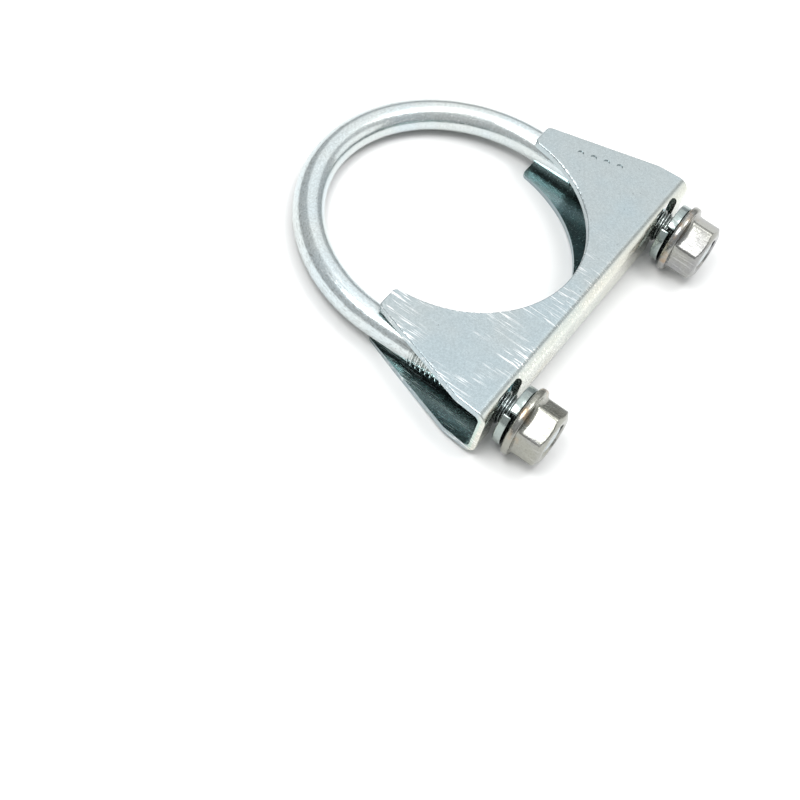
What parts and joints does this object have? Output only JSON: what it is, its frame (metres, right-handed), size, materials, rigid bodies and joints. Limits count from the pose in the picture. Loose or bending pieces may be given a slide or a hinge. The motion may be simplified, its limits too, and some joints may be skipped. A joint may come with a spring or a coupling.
{
  "type": "u-bolt pipe clamp",
  "caption": "Zinc-plated U-bolt clamp: bent threaded rod through a pressed channel saddle, drawn up on a pipe by flange nuts over split washers.",
  "frame": {"origin": "centre of the saddle's round pipe seat, midway across the channel", "axes": "+Z along the pipe's axis, +Y from the seat towards the crown of the U, +X towards the leg with the pressed size marks beside it"},
  "size_m": [0.0878, 0.0827, 0.016],
  "materials": {
    "rod_zinc": "bright zinc plate, drawn wire",
    "saddle_zinc": "bright zinc plate, rolled sheet",
    "washer_zinc": "bright zinc plate",
    "nut_zinc": "zinc plate over forged steel, warm tint"
  },
  "bodies": {
    "saddle": {"saddle": "saddle_zinc"},
    "u_bolt": {"u_bolt": "rod_zinc"},
    "nut_left": {"flange_nut_left": "nut_zinc"},
    "nut_right": {"flange_nut_right": "nut_zinc"},
    "washer_left": {"spring_washer_left": "washer_zinc"},
    "washer_right": {"spring_washer_right": "washer_zinc"}
  },
  "joints": [
    {"name": "nut_right_turn", "type": "hinge", "parent": "saddle", "child": "nut_right", "pos_m": [0.0338, -0.0435, 0], "axis": [0, 1, 0], "range_deg": [-362, 6482]},
    {"name": "nut_left_turn", "type": "hinge", "parent": "saddle", "child": "nut_left", "pos_m": [-0.0338, -0.0435, 0], "axis": [0, 1, 0], "range_deg": [-362, 6482]},
    {"name": "bolt_draw", "type": "slide", "parent": "saddle", "child": "u_bolt", "axis": [0, -1, 0], "range_m": [-0.00125, 0.0225]},
    {"name": "washer_right_play", "type": "slide", "parent": "saddle", "child": "washer_right", "axis": [0, 1, 0], "range_m": [0, 0.0012]},
    {"name": "washer_left_play", "type": "slide", "parent": "saddle", "child": "washer_left", "axis": [0, 1, 0], "range_m": [0, 0.0012]}
  ],
  "couplings": [
    {"joint": "nut_right_turn", "follows": "bolt_draw", "rad_per_m": 5026.5},
    {"joint": "nut_left_turn", "follows": "bolt_draw", "rad_per_m": 5026.5}
  ]
}
